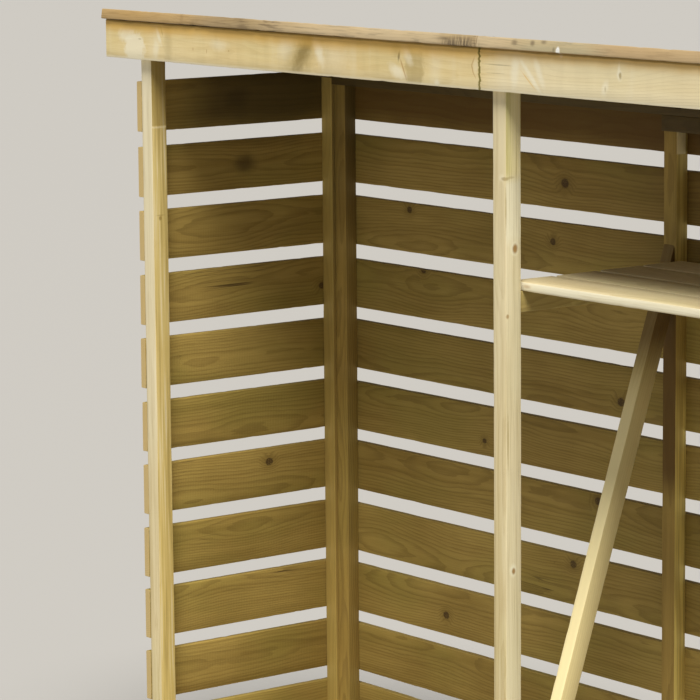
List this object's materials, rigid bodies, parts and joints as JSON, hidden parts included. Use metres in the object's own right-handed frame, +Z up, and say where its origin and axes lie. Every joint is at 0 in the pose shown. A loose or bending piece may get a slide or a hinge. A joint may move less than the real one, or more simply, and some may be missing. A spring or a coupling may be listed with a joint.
{
  "type": "log store",
  "caption": "Open-fronted timber log store with slatted sides and back, a raised slatted floor, a kindling shelf in the right bay and a pent roof falling to the back.",
  "frame": {"origin": "on the ground, under the middle of the whole store's bounding box", "axes": "+X along the front to the right, +Y from the open front to the slatted back, +Z up"},
  "size_m": [2.333, 0.5576, 1.7067],
  "materials": {
    "frame_timber": "pressure-treated softwood, planed, matt",
    "slat_timber": "pressure-treated softwood, sawn, matt",
    "fascia_timber": "pressure-treated softwood, planed, matt",
    "roof_timber": "pressure-treated softwood, weathered, matt"
  },
  "bodies": {
    "root": {"left_front_post": "frame_timber", "middle_front_post": "frame_timber", "right_front_post": "frame_timber", "left_rear_post": "frame_timber", "right_rear_post": "frame_timber", "left_back_batten": "frame_timber", "middle_back_batten": "frame_timber", "right_back_batten": "frame_timber", "left_side_slats": "slat_timber", "right_side_slats": "slat_timber", "back_slats": "slat_timber", "left_rafter": "frame_timber", "middle_rafter": "frame_timber", "right_rafter": "frame_timber", "left_front_rail": "frame_timber", "right_front_rail": "frame_timber", "back_top_rail": "frame_timber", "right_back_rail": "frame_timber", "left_fascia": "fascia_timber", "right_fascia": "fascia_timber", "roof_board_1": "roof_timber", "roof_board_2": "roof_timber", "roof_board_3": "roof_timber", "roof_board_4": "roof_timber", "roof_board_5": "roof_timber", "roof_board_6": "roof_timber", "roof_board_7": "roof_timber", "roof_board_8": "roof_timber", "roof_board_9": "roof_timber", "roof_board_10": "roof_timber", "front_floor_bearer": "frame_timber", "back_floor_bearer": "frame_timber", "left_floor_boards": "slat_timber", "right_floor_boards": "slat_timber", "left_shelf_bearer": "frame_timber", "right_shelf_bearer": "frame_timber", "shelf_board_1": "slat_timber", "shelf_board_2": "slat_timber", "shelf_board_3": "slat_timber", "shelf_board_4": "slat_timber", "middle_brace": "frame_timber"}
  },
  "joints": []
}
